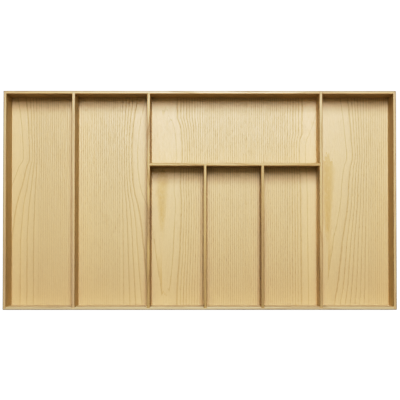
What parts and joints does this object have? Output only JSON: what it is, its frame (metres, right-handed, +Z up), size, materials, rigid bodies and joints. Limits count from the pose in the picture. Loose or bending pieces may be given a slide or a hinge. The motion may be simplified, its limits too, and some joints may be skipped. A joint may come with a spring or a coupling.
{
  "type": "drawer organizer insert",
  "caption": "Shallow wooden drawer insert: full-depth compartments at the sides, a wide one at the back and short ones in front of it, split by thin housed dividers.",
  "frame": {"origin": "middle of the footprint, on the surface the rails stand on", "axes": "+X to the right along the long side, +Y to the back of the drawer, +Z up"},
  "size_m": [0.85, 0.4736, 0.062],
  "materials": {
    "rail_ash": "clear matt oil on solid ash, eased edges",
    "divider_ash": "clear matt oil on solid ash, eased edges",
    "face_veneer": "clear satin lacquer on crown-cut ash veneer, grain front to back",
    "backing_veneer": "sanded ash veneer, sealed",
    "panel_core": "raw cross-banded core",
    "pin_steel": "bright wire"
  },
  "bodies": {
    "root": {"left_side_rail": "rail_ash", "right_side_rail": "rail_ash", "back_rail": "rail_ash", "front_rail": "rail_ash", "left_divider": "divider_ash", "middle_divider": "divider_ash", "right_divider": "divider_ash", "cross_divider": "divider_ash", "left_short_divider": "divider_ash", "right_short_divider": "divider_ash", "face_leaf_left": "face_veneer", "face_leaf_middle": "face_veneer", "face_leaf_right": "face_veneer", "backing_leaf_left": "backing_veneer", "backing_leaf_middle": "backing_veneer", "backing_leaf_right": "backing_veneer", "base_core": "panel_core", "divider_pins": "pin_steel"}
  },
  "joints": []
}
